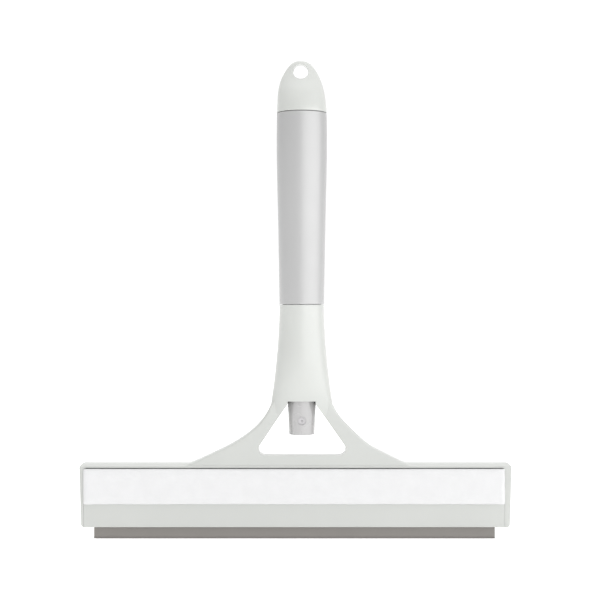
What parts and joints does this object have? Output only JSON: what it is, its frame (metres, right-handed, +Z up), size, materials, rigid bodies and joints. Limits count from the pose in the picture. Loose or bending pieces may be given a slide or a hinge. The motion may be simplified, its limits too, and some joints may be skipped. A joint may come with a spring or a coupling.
{
  "type": "window cleaning squeegee",
  "caption": "Window squeegee with a wiper blade, a pull-off scrub pad, a fine-mist pump in the neck and a liquid reservoir in the grip.",
  "frame": {"origin": "under the middle of the head, at the working edge of the blade", "axes": "+Z up along the handle, -Y towards the working front with the scrub pad, +X to the right seen from the front"},
  "size_m": [0.2534, 0.0298, 0.2811],
  "materials": {
    "frame_plastic": "fine satin moulded ABS",
    "spray_plastic": "smooth moulded polypropylene",
    "insert_plastic": "moulded acetal",
    "grip_rubber": "satin soft-touch",
    "blade_rubber": "satin moulded silicone",
    "rail_metal": "extruded",
    "screw_steel": "zinc plated",
    "spring_steel": "drawn stainless wire",
    "microfibre": "short looped pile",
    "sponge": "open-cell foam",
    "loop_fabric": "brushed loop knit",
    "hook_tape": "woven hook tape",
    "reservoir_plastic": "translucent polypropylene",
    "seal_rubber": "moulded silicone"
  },
  "bodies": {
    "handle": {"frame": "frame_plastic", "front_plate": "frame_plastic", "grip_sleeve": "grip_rubber", "blade": "blade_rubber", "blade_rail": "rail_metal", "rail_clips": "insert_plastic", "housing_screws": "screw_steel", "hook_strip": "hook_tape", "reservoir": "reservoir_plastic", "neck_ring": "insert_plastic", "pump_closure": "insert_plastic", "closure_gasket": "seal_rubber", "pump_housing": "reservoir_plastic", "stem_guide": "insert_plastic", "return_spring": "spring_steel", "dip_tube": "reservoir_plastic"},
    "spray_head": {"actuator": "spray_plastic", "nozzle_insert": "insert_plastic", "pump_stem": "spray_plastic", "piston": "spray_plastic"},
    "pad": {"scrub_pad": "microfibre", "pad_foam": "sponge", "pad_backing": "loop_fabric"},
    "seal": {"cap_seal": "seal_rubber"},
    "cap": {"end_cap": "frame_plastic"},
    "check_ball": {"inlet_ball": "spring_steel"}
  },
  "joints": [
    {"name": "pump_press", "type": "slide", "parent": "handle", "child": "spray_head", "axis": [0, 0, 1], "range_m": [0, 0.005], "stiffness_N_per_m": 1500, "springref_m": -0.002, "deforming": ["return_spring"]},
    {"name": "pad_pull_off", "type": "slide", "parent": "handle", "child": "pad", "axis": [0, -1, 0], "range_m": [0, 0.02]},
    {"name": "cap_lift", "type": "slide", "parent": "handle", "child": "seal", "axis": [0, 0, 1], "range_m": [0, 0.0045]},
    {"name": "cap_turn", "type": "hinge", "parent": "seal", "child": "cap", "pos_m": [0.0037, 0, 0.2506], "axis": [0, 0, 1], "range_deg": [0, 540]},
    {"name": "ball_lift", "type": "slide", "parent": "handle", "child": "check_ball", "axis": [0, 0, 1], "range_m": [0, 0.001]}
  ],
  "couplings": [
    {"joint": "cap_lift", "follows": "cap_turn", "m_per_rad": 0.00047746}
  ]
}
